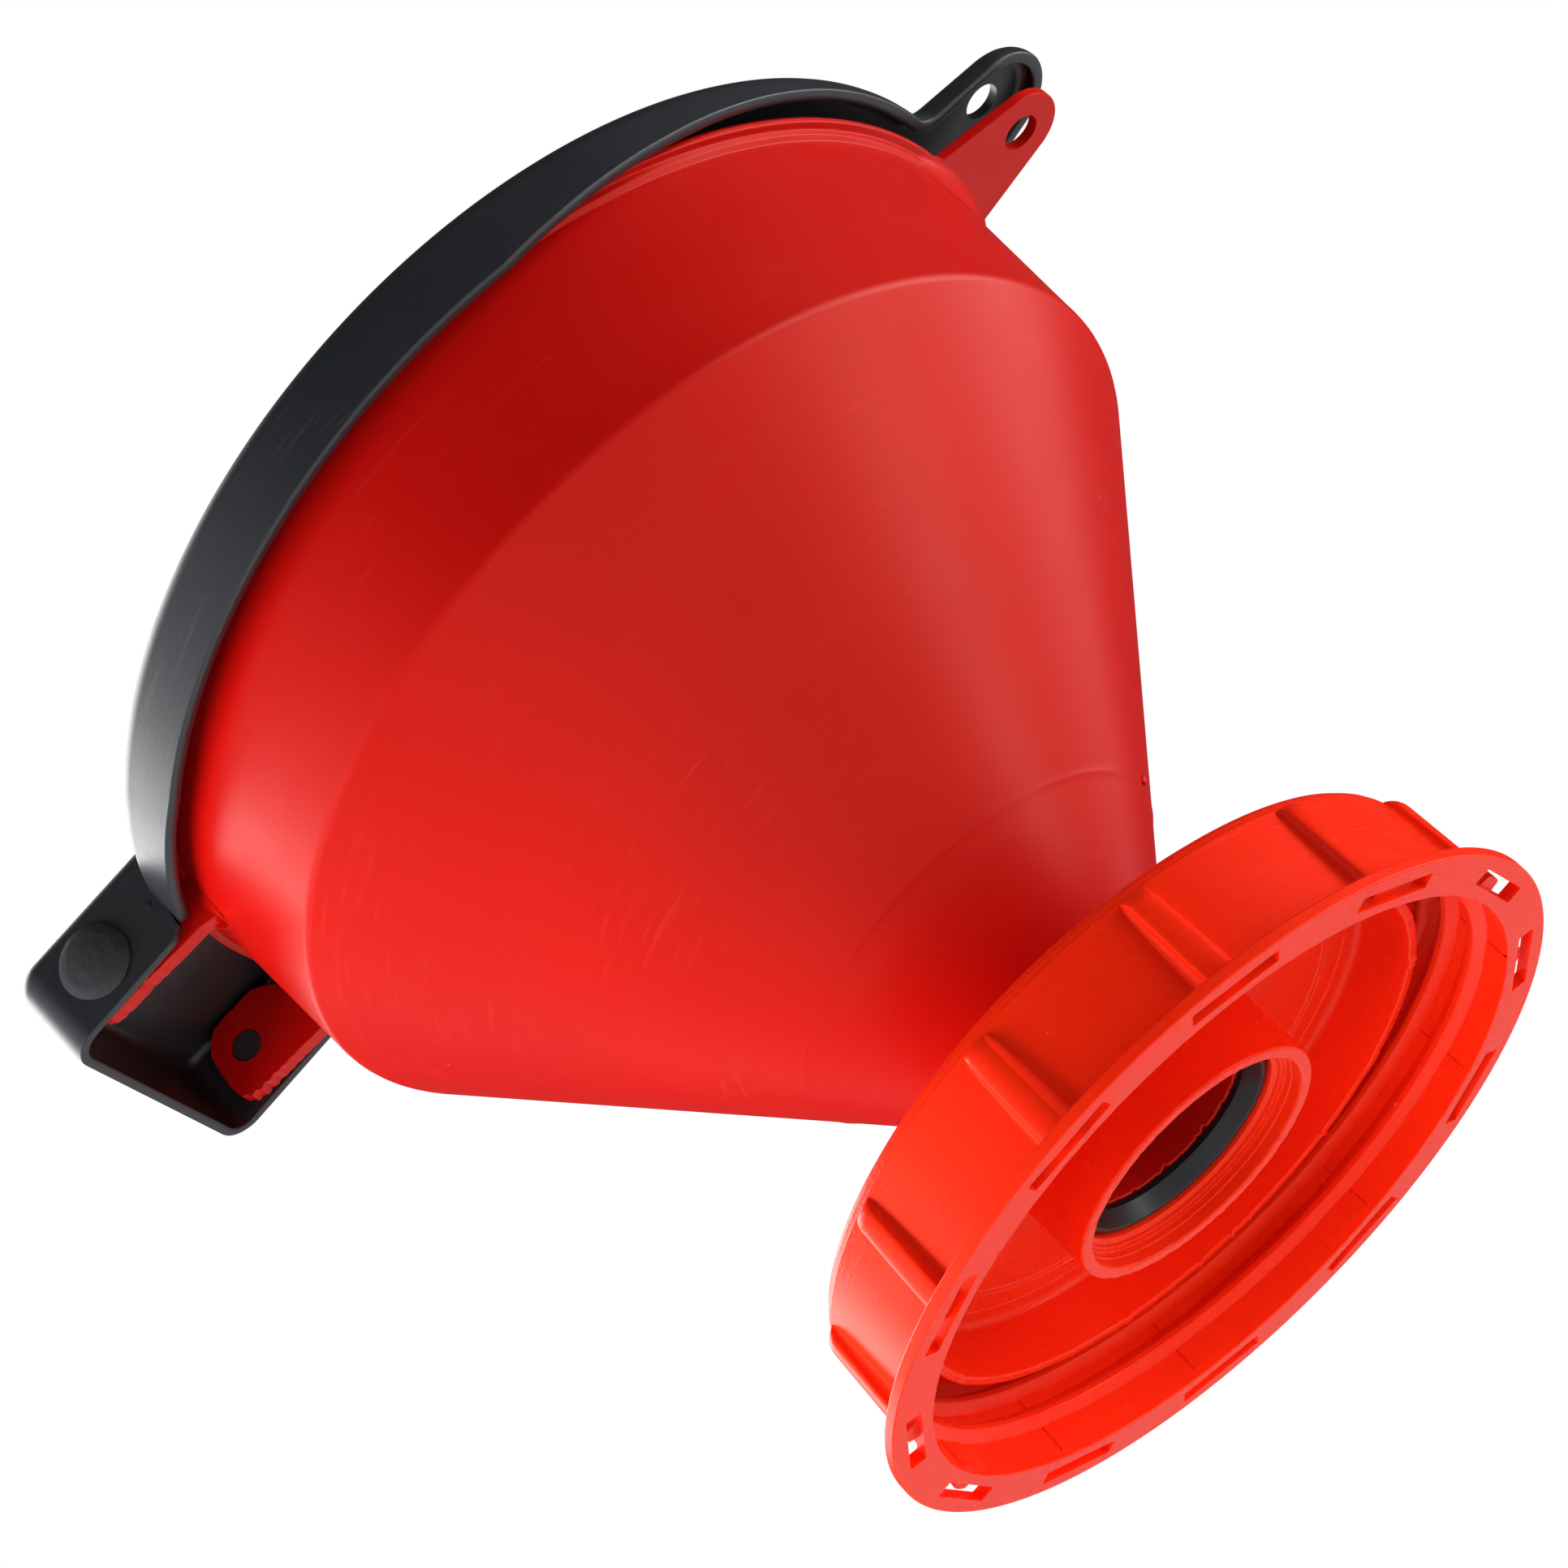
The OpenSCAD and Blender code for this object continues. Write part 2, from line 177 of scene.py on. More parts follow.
def revolve(name, outline, steps=STEPS, shift=None):
    """Solid of revolution about Z. shift(angle, radius, height) gives how far each point moves in and up."""
    rings = []
    for i in range(steps):
        a = i * TAU / steps
        r, z = outline[:, 0], outline[:, 1]
        if shift:
            moved = np.array([shift(a, p, q) for p, q in outline])
            r, z = r + moved[:, 0], z + moved[:, 1]
        rings.append(at_angle(a, r, z))
    return loft(name, rings, tube=True)


def ring(outline, normals, inset, height):
    """The outline moved inwards by inset, at one height or a height for each point."""
    return at_height(outline - normals * np.reshape(inset, (-1, 1)), height)


def plate(name, outline, low, high, edge=0.35):
    """Flat plate with small rounded edges."""
    n = outward(outline)
    soft = edge * (1 - math.sqrt(0.5))
    steps = [(edge, low), (soft, low + soft), (0, low + edge),
             (0, high - edge), (soft, high - soft), (edge, high)]
    return loft(name, [ring(outline, n, inset, height) for inset, height in steps])


def tray(name, outline, low, top, wall, round_out, rim, bead=0.0):
    """Plate with a skirt, whose lower edge is at low for each point and may have a bead inside."""
    n = outward(outline)
    low = np.broadcast_to(low, len(outline))
    round_out = np.minimum(round_out, top - low - rim - 0.2)
    round_in = np.maximum(round_out - wall, 0.1)
    rings = []
    for a in np.linspace(math.pi / 2, 0, 7):
        rings.append(ring(outline, n, wall + round_in * (1 - math.cos(a)),
                          top - wall - round_in * (1 - math.sin(a))))
    if bead:
        rings.append(ring(outline, n, wall, np.minimum(low + 4.2, top - wall - round_in - 0.1)))
        rings.append(ring(outline, n, wall + bead * 0.8, np.minimum(low + 2.6, top - wall - round_in - 0.2)))
    for a in np.linspace(0, math.pi, 9):
        rings.append(ring(outline, n, (wall + bead) / 2 * (1 + math.cos(a)), low + rim * (1 - math.sin(a))))
    for a in np.linspace(0, math.pi / 2, 9):
        rings.append(ring(outline, n, round_out * (1 - math.cos(a)), top - round_out * (1 - math.sin(a))))
    return loft(name, rings)


def peg(name, radius, low, high, at=(0, 0), steps=64):
    """Plain round cutter along Z."""
    angles = np.arange(steps) * TAU / steps
    circle = np.stack([at[0] + radius * np.cos(angles), at[1] + radius * np.sin(angles)], 1)
    return loft(name, [at_height(circle, z) for z in (low, high)])


def place(obj, matrix):
    """Moves the mesh itself by a matrix whose shift is in millimetres."""
    moved = matrix.copy()
    moved.translation = matrix.translation * MM
    obj.data.transform(moved)
    return obj


def join(objs):
    """One object from several separate solids."""
    made = bmesh.new()
    for obj in objs:
        made.from_mesh(obj.data)
        if obj is not objs[0]:
            bpy.data.objects.remove(obj)
    made.to_mesh(objs[0].data)
    made.free()
    return objs[0]


def cut(obj, tool, how="DIFFERENCE"):
    """Exact boolean of obj with tool, which is then gone."""
    modifier = obj.modifiers.new("cut", "BOOLEAN")
    modifier.operation, modifier.solver, modifier.object = how, "EXACT", tool
    bpy.context.view_layer.update()
    graph = bpy.context.evaluated_depsgraph_get()
    made = bpy.data.meshes.new_from_object(obj.evaluated_get(graph))
    obj.modifiers.clear()
    obj.data = made
    bpy.data.objects.remove(tool)
    return obj


def add(obj, tool):
    return cut(obj, tool, "UNION")


def finish_piece(obj, material, body, node, sharp=38):
    """Smooth shading but for corners over sharp, a material, and the CAD node that the piece stands for."""
    obj.data.polygons.foreach_set("use_smooth", [True] * len(obj.data.polygons))
    obj.data.set_sharp_from_angle(angle=math.radians(sharp))
    obj.modifiers.new("flat_faces", "WEIGHTED_NORMAL").keep_sharp = True
    bpy.context.view_layer.update()
    obj.data = bpy.data.meshes.new_from_object(obj.evaluated_get(bpy.context.evaluated_depsgraph_get()))
    obj.modifiers.clear()
    obj.data.materials.clear()
    obj.data.materials.append(material)
    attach(obj, body)
    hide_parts(node)
    return obj


def ragged(angle, seed, scale=9.0):
    """Smooth random value in -1 to 1 round a circle."""
    return noise.noise(Vector((math.cos(angle) * scale, math.sin(angle) * scale, seed)))


# ---------------------------------------------------------------- materials

COOL_SHEEN, WARM_SHEEN = (0.95, 0.97, 1.0, 1.0), (1.0, 0.80, 0.60, 1.0)
GLOW_RADIUS, GLOW_REACH = (1.0, 0.25, 0.15), 0.003


class Nodes:
    """Short way to wire a node material."""

    def __init__(self, name):
        self.material = bpy.data.materials.new(name)
        self.material.use_nodes = True
        self.tree = self.material.node_tree
        self.shader = self.tree.nodes["Principled BSDF"]
        self.place = self.add("ShaderNodeTexCoord").outputs["Object"]

    def add(self, kind, **inputs):
        node = self.tree.nodes.new(kind)
        for key, value in inputs.items():
            self.feed(node, key, value)
        return node

    def feed(self, node, key, value):
        socket = node.inputs[key] if key in node.inputs else node.inputs[int(key[1:])]
        if isinstance(value, bpy.types.NodeSocket):
            self.tree.links.new(value, socket)
        else:
            socket.default_value = value

    def math(self, kind, a, b=0.0, clamp=False):
        node = self.add("ShaderNodeMath", _0=a, _1=b)
        node.operation, node.use_clamp = kind, clamp
        return node.outputs[0]

    def noise(self, scale, detail=3.0, rough=0.5, place=None):
        node = self.add("ShaderNodeTexNoise", Vector=place or self.place, Scale=scale, Detail=detail,
                        Roughness=rough)
        return node.outputs["Fac"]

    def ramp(self, value, low, high, out_low=0.0, out_high=1.0):
        node = self.add("ShaderNodeMapRange", Value=value)
        for key, number in (("From Min", low), ("From Max", high), ("To Min", out_low), ("To Max", out_high)):
            node.inputs[key].default_value = number
        return node.outputs["Result"]

    def mix(self, share, a, b):
        node = self.add("ShaderNodeMix")
        node.data_type = "RGBA"
        self.feed(node, "Factor", share)
        for socket, value in ((node.inputs[6], a), (node.inputs[7], b)):
            if isinstance(value, bpy.types.NodeSocket):
                self.tree.links.new(value, socket)
            else:
                socket.default_value = (*value, 1)
        return node.outputs[2]

    def bump(self, height, distance):
        """Lays a bump over those that the shader has."""
        normal = self.shader.inputs["Normal"]
        node = self.add("ShaderNodeBump", Height=height, Distance=distance, Strength=1.0)
        if normal.is_linked:
            self.tree.links.new(normal.links[0].from_socket, node.inputs["Normal"])
        self.tree.links.new(node.outputs["Normal"], normal)

    def turned(self, round_scale, up_scale):
        """Coordinates that run round the axis and up it, for marks left by the mould and by handling."""
        split = self.add("ShaderNodeSeparateXYZ", Vector=self.place)
        x, y, z = split.outputs
        angle = self.math("ARCTAN2", y, x)
        reach = self.math("SQRT", self.math("ADD", self.math("MULTIPLY", x, x), self.math("MULTIPLY", y, y)))
        made = self.add("ShaderNodeCombineXYZ", X=self.math("MULTIPLY", angle, round_scale),
                        Y=self.math("MULTIPLY", z, up_scale), Z=self.math("MULTIPLY", reach, up_scale))
        return made.outputs[0]

    def height(self):
        return self.add("ShaderNodeSeparateXYZ", Vector=self.place).outputs["Z"]

    def specks(self, scale, size, share):
        """Small round specks: 1 on a speck."""
        node = self.add("ShaderNodeTexVoronoi", Vector=self.place, Scale=scale)
        near = self.ramp(node.outputs["Distance"], size, size * 0.6)
        chance = self.add("ShaderNodeSeparateColor", Color=node.outputs["Color"]).outputs[0]
        return self.math("MULTIPLY", near, self.math("GREATER_THAN", chance, 1 - share), clamp=True)


def plastic(name, base, dark, pale, rough, haze, grain, soft=0.0, gloss=0.5, sheen=COOL_SHEEN):
    """Moulded plastic that drifts from base to dark, with pale marks and specks, and a fine grain."""
    m = Nodes(name)
    drift = m.ramp(m.noise(9.0, 2.0), 0.35, 0.65)
    colour = m.mix(drift, base, dark)
    streaks = m.ramp(m.noise(1.0, 5.0, 0.62, m.turned(5.0, 620.0)), 0.56, 0.74)
    patches = m.ramp(m.noise(16.0, 3.0, 0.6), 0.42, 0.68)
    worn = m.math("MULTIPLY", streaks, patches, clamp=True)
    speck = m.specks(95.0, 0.045, 0.10)
    colour = m.mix(m.math("MULTIPLY", worn, haze), colour, pale)
    colour = m.mix(m.math("MULTIPLY", speck, 0.55), colour, pale)
    m.feed(m.shader, "Base Color", colour)
    mottle = m.ramp(m.noise(60.0, 3.0, 0.5), 0.3, 0.7, rough - 0.03, rough + 0.03)
    m.feed(m.shader, "Roughness", m.math("ADD", mottle, m.math("MULTIPLY", worn, 0.14), clamp=True))
    m.bump(m.noise(22.0, 1.0), 0.00012)
    m.bump(m.noise(1500.0, 3.0), 0.000018 * grain)
    m.bump(m.math("ADD", worn, m.math("MULTIPLY", speck, 3.0)), 0.00002)
    for key, value in (("IOR", 1.51), ("Specular IOR Level", gloss), ("Specular Tint", sheen),
                       ("Subsurface Weight", soft), ("Subsurface Radius", GLOW_RADIUS),
                       ("Subsurface Scale", GLOW_REACH)):
        m.shader.inputs[key].default_value = value
    return m


def red_plastic():
    return plastic("red_plastic", (0.52, 0.004, 0.002), (0.47, 0.003, 0.002), (0.85, 0.09, 0.06),
                   rough=0.36, haze=0.16, grain=1.0, soft=0.06, gloss=0.26, sheen=WARM_SHEEN).material


def cap_plastic():
    """Brighter plastic of the cap, with an orange-peel band just under its top edge."""
    m = plastic("cap_plastic", (0.95, 0.026, 0.004), (0.92, 0.020, 0.003), (1.0, 0.12, 0.06),
                rough=0.27, haze=0.04, grain=0.2, soft=0.12, gloss=0.24, sheen=WARM_SHEEN)
    band = m.math("MULTIPLY", m.ramp(m.height(), 0.0255, 0.0285), m.ramp(m.noise(28.0, 2.0), 0.45, 0.6),
                  clamp=True)
    m.bump(m.math("MULTIPLY", m.ramp(m.noise(900.0, 1.0), 0.52, 0.66), band), 0.00004)
    return m.material


def black_plastic():
    return plastic("black_plastic", (0.020, 0.022, 0.025), (0.014, 0.016, 0.019), (0.11, 0.11, 0.11),
                   rough=0.36, haze=0.35, grain=2.2, gloss=0.6).material


def pin_plastic():
    """Grainier black plastic of the pin heads, as a heated tool leaves it."""
    m = plastic("pin_plastic", (0.032, 0.034, 0.037), (0.025, 0.027, 0.030), (0.12, 0.12, 0.12),
                rough=0.52, haze=0.3, grain=5.0)
    m.bump(m.noise(420.0, 4.0, 0.65), 0.00022)
    return m.material


def seal_rubber():
    return plastic("seal_rubber", (0.007, 0.007, 0.008), (0.005, 0.005, 0.006), (0.05, 0.05, 0.055),
                   rough=0.34, haze=0.3, grain=1.2).material


def gasket_foam():
    """Off-white closed-cell foam."""
    m = plastic("gasket_foam", (0.74, 0.60, 0.54), (0.68, 0.52, 0.46), (0.85, 0.78, 0.74),
                rough=0.7, haze=0.4, grain=6.0, soft=0.15)
    m.bump(m.noise(700.0, 2.0), 0.0002)
    return m.material


# ---------------------------------------------------------------- the funnel

def cone_r(z):
    return (z - CONE_APEX) * CONE_SLOPE


def cone_z(r):
    return CONE_APEX + r / CONE_SLOPE


def funnel_shell():
    """Spout with a bead over the cap, cone with a mould ring, rounded shoulder, collar and stepped lip."""
    wall_up = WALL / math.cos(math.atan(CONE_SLOPE)) / CONE_SLOPE
    mould_ring = [(MOULD_RING_R + out, cone_z(MOULD_RING_R) + up / CONE_SLOPE, 0.0) for out, up in
                  ((-1.4, -1.4), (-0.6, -0.6), (-0.15, -0.35), (0.2, 0.1), (0.6, 0.6), (1.4, 1.4))]
    under = LIP_TOP - LIP_T
    outline = rounded([
        (SPOUT_IN_R, SPOUT_END, 0.5), (SPOUT_R, SPOUT_END, 0.5), (SPOUT_R, CAP_TOP + 0.3, 0.3),
        (BEAD_R, CAP_TOP + 0.3, 0.8), (BEAD_R, CAP_TOP + 4.0, 0.8), (SPOUT_R, CAP_TOP + 5.0, 0.4),
        (SPOUT_R, cone_z(SPOUT_R), 6.0), *mould_ring, (CREASE_R, cone_z(CREASE_R), SHOULDER_R * 1.75),
        (CREASE_R + 0.03, CREASE_Z, 0.2), (COLLAR_R, under - 2.6, 0.6), (COLLAR_R + 1.1, under - 1.6, 0.5),
        (COLLAR_R + 1.5, under, 0.5), (LIP_R - 0.2, under, 0.5), (LIP_R, LIP_TOP - 1.4, 0.3),
        (LIP_R - 0.6, LIP_TOP, 0.7), (COLLAR_R - WALL, LIP_TOP, 0.8),
        (CREASE_R - WALL, CREASE_Z - 4.0, 12.0),
        (SPOUT_IN_R, cone_z(SPOUT_IN_R) + wall_up, 8.0)], 8)

    def torn(angle, r, z):
        """Ragged trimmed end of the spout."""
        if z > SPOUT_END + 0.9 or r > SPOUT_R - 0.3:
            return 0.0, 0.0
        bite = max(0.0, ragged(angle, 3.0, 16.0)) + 0.5 * max(0.0, ragged(angle, 8.0, 41.0))
        return -0.25 * bite, 1.1 * bite

    return revolve("funnel_body_shell", spread(outline, 9.0), STEPS, torn)


def ear():
    """Flat padlock ear."""
    body = plate("ear", spread(drop(EAR_X, EAR_R, EAR_ROOT), 2.0), LIP_TOP - EAR_T, LIP_TOP, 0.4)
    cut(body, peg("ear_hole", LOCK_R, LIP_TOP - 9, LIP_TOP + 9, (EAR_X, 0)))
    return body


def ear_fillet():
    """Crescent under the ear, where it springs from the collar."""
    rings = []
    reach = math.radians(13.0)
    top = LIP_TOP - EAR_T + 0.3
    for a in np.linspace(-reach, reach, 31):
        size = max(0.06, math.sqrt(max(0.0, 1 - (a / reach) ** 2)))
        out, down = 5.6 * size, 13.0 * size ** 0.7
        curve = [(COLLAR_R - 1.2, top), (COLLAR_R - 1.2, top - down)]
        for t in np.linspace(0, math.pi / 2, 9):
            curve.append((COLLAR_R - 0.1 + out * (1 - math.cos(t)), top - down * (1 - math.sin(t))))
        rings.append(at_angle(a, *np.array(curve).T))
    return loft("ear_fillet", rings)


def lug(side, seed):
    """Hinge lug with trimmed, slightly torn edges."""
    outline = spread(rounded([
        (-116, LUG_LOW - 0.8, 0), (-116, LIP_TOP - 0.9, 0), (-129.4, LIP_TOP - 0.8, 1.2),
        (-137.5, LUG_TOP, 7), (-157.5, LUG_TOP, 10), (-159.0, LUG_LOW, 6.0),
        (-124.5, LUG_LOW, 1.5), (-121.0, LUG_LOW - 0.8, 1.0)], 10), 0.9)
    n = outward(outline)
    bite = np.array([0.5 + noise.noise(Vector((x * 0.55, z * 0.55, seed))) for x, z in outline])
    tear = np.clip((-outline[:, 0] - 133) / 8, 0, 1) * np.clip(bite, 0, 1) * 0.7
    outline = outline - n * tear[:, None]
    body = plate("lug", outline, -LUG_T / 2, LUG_T / 2, 0.3)
    cut(body, peg("lug_hole", LUG_HOLE_R, -9, 9, (HINGE.x, HINGE.z)))
    stand = Matrix(((1, 0, 0, 0), (0, 0, -1, side * (LUG_Y + LUG_T / 2)), (0, 1, 0, 0), (0, 0, 0, 1)))
    return place(body, stand)


def lug_fillet(side, face):
    """Concave blend from one face of a lug down onto the collar."""
    flat_y = LUG_Y + (LUG_T if face > 0 else 0)
    low, high = LUG_LOW - 2.9, LIP_TOP - LIP_T + 0.4
    rings = []
    for t in np.linspace(0, 1, 15):
        z = low + t * (high - low)
        radius = 0.25 + 3.4 * math.sin(min(1, t * 1.6) * math.pi / 2)
        middle_y = flat_y + face * radius
        middle = np.array((-math.sqrt((COLLAR_R + radius - 0.15) ** 2 - middle_y ** 2), middle_y))
        on_lug = np.array((middle[0], flat_y))
        on_collar = middle * (COLLAR_R - 0.15) / (COLLAR_R + radius - 0.15)
        start = heading(on_lug - middle)
        turn = (heading(on_collar - middle) - start + math.pi) % TAU - math.pi
        curve = arc(middle, radius, start, start + turn, 9)
        inner = [(on_collar[0] + 1.6, on_collar[1]), (-117.5, flat_y - face), (on_lug[0], flat_y - face)]
        rings.append(at_height(np.array(curve + inner) * (1, side), z))
    return loft("lug_fillet", rings)


def gate_nub():
    """Snapped-off moulding gate on the cone."""
    outline = rounded([(0, -1.2, 0), (1.3, -1.2, 0.3), (0.9, 0.5, 0.3), (0.45, 1.0, 0.3), (0, 0.8, 0)])
    lean = Matrix.Rotation(math.atan(1 / CONE_SLOPE), 4, "Y")
    return place(revolve("gate_nub", outline, 20), Matrix.Translation((cone_r(GATE_Z), 1.5, GATE_Z)) @ lean)


def funnel_body(material):
    body = funnel_shell()
    add(body, ear())
    add(body, ear_fillet())
    for side in (-1, 1):
        add(body, lug(side, 5.0 + side))
        for face in (-1, 1):
            add(body, lug_fillet(side, face))
    add(body, gate_nub())
    body.name = "funnel_moulding"
    return finish_piece(body, material, "funnel", "funnel_body", 32)


# ---------------------------------------------------------------- the lid

def skirt_low(x):
    """Height of the skirt's lower edge with the lid shut: raised at the hinge box and over the ear."""
    return np.interp(x, (-126.0, -117.0, -104.0, 35.0, 126.0, 167.0),
                     (215.6, 213.8, SKIRT_LOW, SKIRT_LOW, 225.0, 226.0))


def lid_outline():
    """Round lid with the padlock tab, the corners between them filled with arcs. Counter-clockwise."""
    touch, turn = drop_tangent(TAB_X, TAB_R, TAB_ROOT)
    n = np.array((math.cos(turn), math.sin(turn)))
    along = np.array((-n[1], n[0]))
    corner = 5.0
    base = touch + n * corner
    b = base @ along
    near = -b - math.sqrt(b * b - (base @ base - (SKIRT_R + corner) ** 2))
    middle = base + along * near
    on_line, on_round = middle - n * corner, middle * SKIRT_R / (SKIRT_R + corner)
    half = [touch + (on_line - touch) * t for t in np.linspace(0, 1, 12)[1:-1]]
    half += arc(middle, corner, heading(on_line - middle), heading(on_round - middle), 10)
    tip = arc((TAB_X, 0), TAB_R, -turn, turn, 41)
    rim = arc((0, 0), SKIRT_R, heading(on_round), TAU - heading(on_round), 420)[1:-1]
    other = [p * np.array((1, -1)) for p in half[::-1]]
    return np.array(tip + half + rim + other)


def box_outline(inset=0.0):
    """Flat outline of the hinge box, or one that lies inside it by inset."""
    far, near, half = -BOX_X + inset, -BOX_IN_X - inset, BOX_Y - inset
    wide, tight = 8.0 - inset, 4.0 - inset
    corners = [(far, -half, wide), (near, -half, tight), (near, half, tight), (far, half, wide)]
    return spread(rounded(corners, 9), 1.2)


def hinge_box():
    """Open box over the hinge; inside the lid its walls stop in the plate."""
    outline = box_outline()
    low = np.interp(outline[:, 0], (-BOX_X, -131.0, -127.2, -126.2), (BOX_LOW + 0.1, 213.2, 215.6, 231.4))
    return tray("hinge_box", outline, low, BOX_TOP, BOX_T, 5.0, 0.6)


def box_pip():
    """Small ejector-pin pip on the side of the hinge box."""
    pip = revolve("pip", rounded([(0, -0.8, 0), (1.0, -0.8, 0.1), (0.95, 0.3, 0.15), (0, 0.35, 0)]), 32)
    seat = Matrix.Translation((-130.0, -BOX_Y + 0.1, 225.3))
    return place(pip, seat @ Matrix.Rotation(math.pi / 2, 4, "X"))


def lid_moulding(material):
    """Lid with its tab, made shut and then turned to the angle that it rests at."""
    outline = lid_outline()
    uneven = np.array([0.10 * noise.noise(Vector((x * 0.09, y * 0.09, 2.0))) for x, y in outline])
    low = skirt_low(outline[:, 0]) + 0.15 + uneven
    lid = tray("lid_moulding", outline, low, LID_TOP, LID_T, LID_ROUND, 0.9, 0.9)
    cut(lid, plate("room", box_outline(BOX_T / 2), LID_TOP - 43.2, LID_TOP + 16.8))
    add(lid, hinge_box())
    cut(lid, peg("lock_hole", LOCK_R, LID_TOP - 8.2, LID_TOP + 6.8, (EAR_X, 0)))
    add(lid, box_pip())
    place(lid, LID_TURN)
    return finish_piece(lid, material, "lid", "lid", 40)


def hinge_pin(name, node, side, material):
    """Pin with a low domed head, pressed on with a slightly uneven rim."""
    outline = rounded([(0, 0, 0), (PIN_R, 0, 0.5), (PIN_R, HEAD_LOW, 0), (HEAD_R, HEAD_LOW, 0.15),
                       (HEAD_R - 0.05, HEAD_LOW + 0.55, 0.35), (7.4, HEAD_LOW + 1.75, 6.0),
                       (3.0, HEAD_LOW + 2.55, 6.0), (0, HEAD_LOW + 2.65, 0)], 8)

    def uneven(angle, r, z):
        return (-0.28 * max(0.0, ragged(angle, 4.0 + side, 2.2)) * (r > HEAD_R - 1.0), 0.0)

    pin = revolve(name, outline, 128, uneven)
    turn = Matrix.Rotation(side * -math.pi / 2, 4, "X")
    seat = Matrix.Translation((HINGE.x, side * PIN_START, HINGE.z))
    place(pin, LID_TURN @ seat @ turn)
    return finish_piece(pin, material, "lid", node, 40)


# ---------------------------------------------------------------- the cap

def cap_shell():
    """Flange, wall, stepped top edge, top plate, sealing ring wall and hub tube."""
    outline = rounded([
        (MOUTH_R, 0, 0.35), (FLANGE_R, 0, 0.4), (FLANGE_R, FLANGE_T, 0.5), (WALL_R, FLANGE_T, 0.7),
        (WALL_R, 32.2, 0.8), (WALL_R - 0.45, 32.5, 0.15), (WALL_R - 0.75, 33.7, 0.3),
        (WALL_R - 1.15, 33.9, 0.15), (WALL_R - 1.9, 35.1, 0.4), (WALL_R - 2.3, 35.2, 0.15),
        (WALL_R - 4.6, CAP_TOP - 0.5, 1.2), (72, CAP_TOP - 0.5, 0.3), (70, CAP_TOP - 1.3, 0.3),
        (40, CAP_TOP - 1.3, 0.4), (39, CAP_TOP - 0.05, 0.4),
        (26.0, CAP_TOP - 0.05, 0.5), (25.8, POCKET_TOP, 0.2), (POCKET_R, POCKET_TOP, 0.3),
        (POCKET_R, POCKET_LOW, 0.3), (29.3, 15.7, 0.15), (29.3, 15.0, 0.1), (30.0, 14.8, 0.1),
        (30.0, 14.25, 0.1), (30.5, 14.1, 0.1), (30.5, 12.7, 0.1), (HUB_IN_R, 12.5, 0.1),
        (HUB_IN_R, HUB_LOW, 0.7), (HUB_R, HUB_LOW, 0.8), (HUB_R, 32.4, 1.6), (59.3, 33.4, 0.2),
        (59.6, 33.1, 0.1), (60.6, 33.1, 0.1), (60.8, 32.8, 0.1), (65.0, 32.8, 0.1), (65.2, 33.05, 0.1),
        (66.0, 33.05, 0.1), (66.2, 32.8, 0.1), (RING_IN_R, 32.8, 2.6), (RING_IN_R, RING_LOW, 0.6),
        (RING_R, RING_LOW, 0.6), (RING_R, CAP_ROOF, 0.6), (82.4, CAP_ROOF, 2.4), (MOUTH_R, 28.6, 1.0)], 6)

    def flash(angle, r, z):
        """Ragged flash on the sealing ring's lower edge, a worn hub end and an uneven mouth."""
        if 70.0 < r < 74.0 and z < RING_LOW + 0.9:
            tuft = max(0.0, ragged(angle, 1.0, 9.0) - 0.15) * abs(ragged(angle, 3.0, 44.0))
            spike = max(0.0, ragged(angle, 6.0, 60.0) - 0.42)
            return 0.8 * tuft + 0.8 * spike, -2.2 * tuft - 2.4 * spike
        if r < HUB_R + 0.3 and z < HUB_LOW + 1.1:
            return 0.0, 0.22 * max(0.0, ragged(angle, 2.0, 14.0))
        if abs(r - MOUTH_R) < 0.5 and z < 0.5:
            return 0.18 * max(0.0, ragged(angle, 9.0, 22.0)), 0.0
        return 0.0, 0.0

    return revolve("cap_shell", outline, 540, flash)


def cap_thread():
    """Coarse inner thread that runs out at both ends."""
    root = MOUTH_R + 0.8
    section = rounded([(root, -2.4, 0), (MOUTH_R - 0.3, -2.1, 0.5), (CREST_R, -0.1, 0.6), (CREST_R, 1.3, 0.6),
                       (MOUTH_R - 0.3, 3.9, 0.6), (root, 4.2, 0)], 5)
    per_turn, first_z, first_angle = 120, 6.6, math.radians(-60)
    count = round(TURNS * per_turn)
    rings = []
    for i in range(count + 1):
        grown = min(1.0, 14 * min(i, count - i) / count)
        height = 0.02 + 0.98 * math.sin(grown * math.pi / 2)
        r = root - (root - section[:, 0]) * height
        z = first_z + PITCH * i / per_turn + section[:, 1] * (0.35 + 0.65 * height)
        rings.append(at_angle(first_angle + i * TAU / per_turn, r, z))
    return loft("cap_thread", rings)


def rib_section(height, share):
    """Flat outline of a rib that stands out by height, with hollow flanks that run onto the wall."""
    half, flank, foot = 3.3, 3.4 * share, WALL_R - 0.35
    points = [(WALL_R - 2.5, -half - flank), (foot, -half - flank)]
    for t in np.linspace(0, math.pi / 2, 7)[1:]:
        out = flank * (1 - math.cos(t)) * min(1, height / 3.6)
        points.append((foot + out, -half - flank + flank * math.sin(t)))
    rise = points[-1][0]
    bulge = WALL_R + height - rise
    nose = [(rise + bulge * math.cos(t) ** 0.75, half * math.sin(t))
            for t in np.linspace(-math.pi / 2, math.pi / 2, 17)[1:-1]]
    return np.array([*points, *nose, *[(x, -y) for x, y in points[::-1]]])


def rib_turn(i):
    return Matrix.Rotation(math.radians(RIB_PHASE + i * 360 / RIBS), 4, "Z")


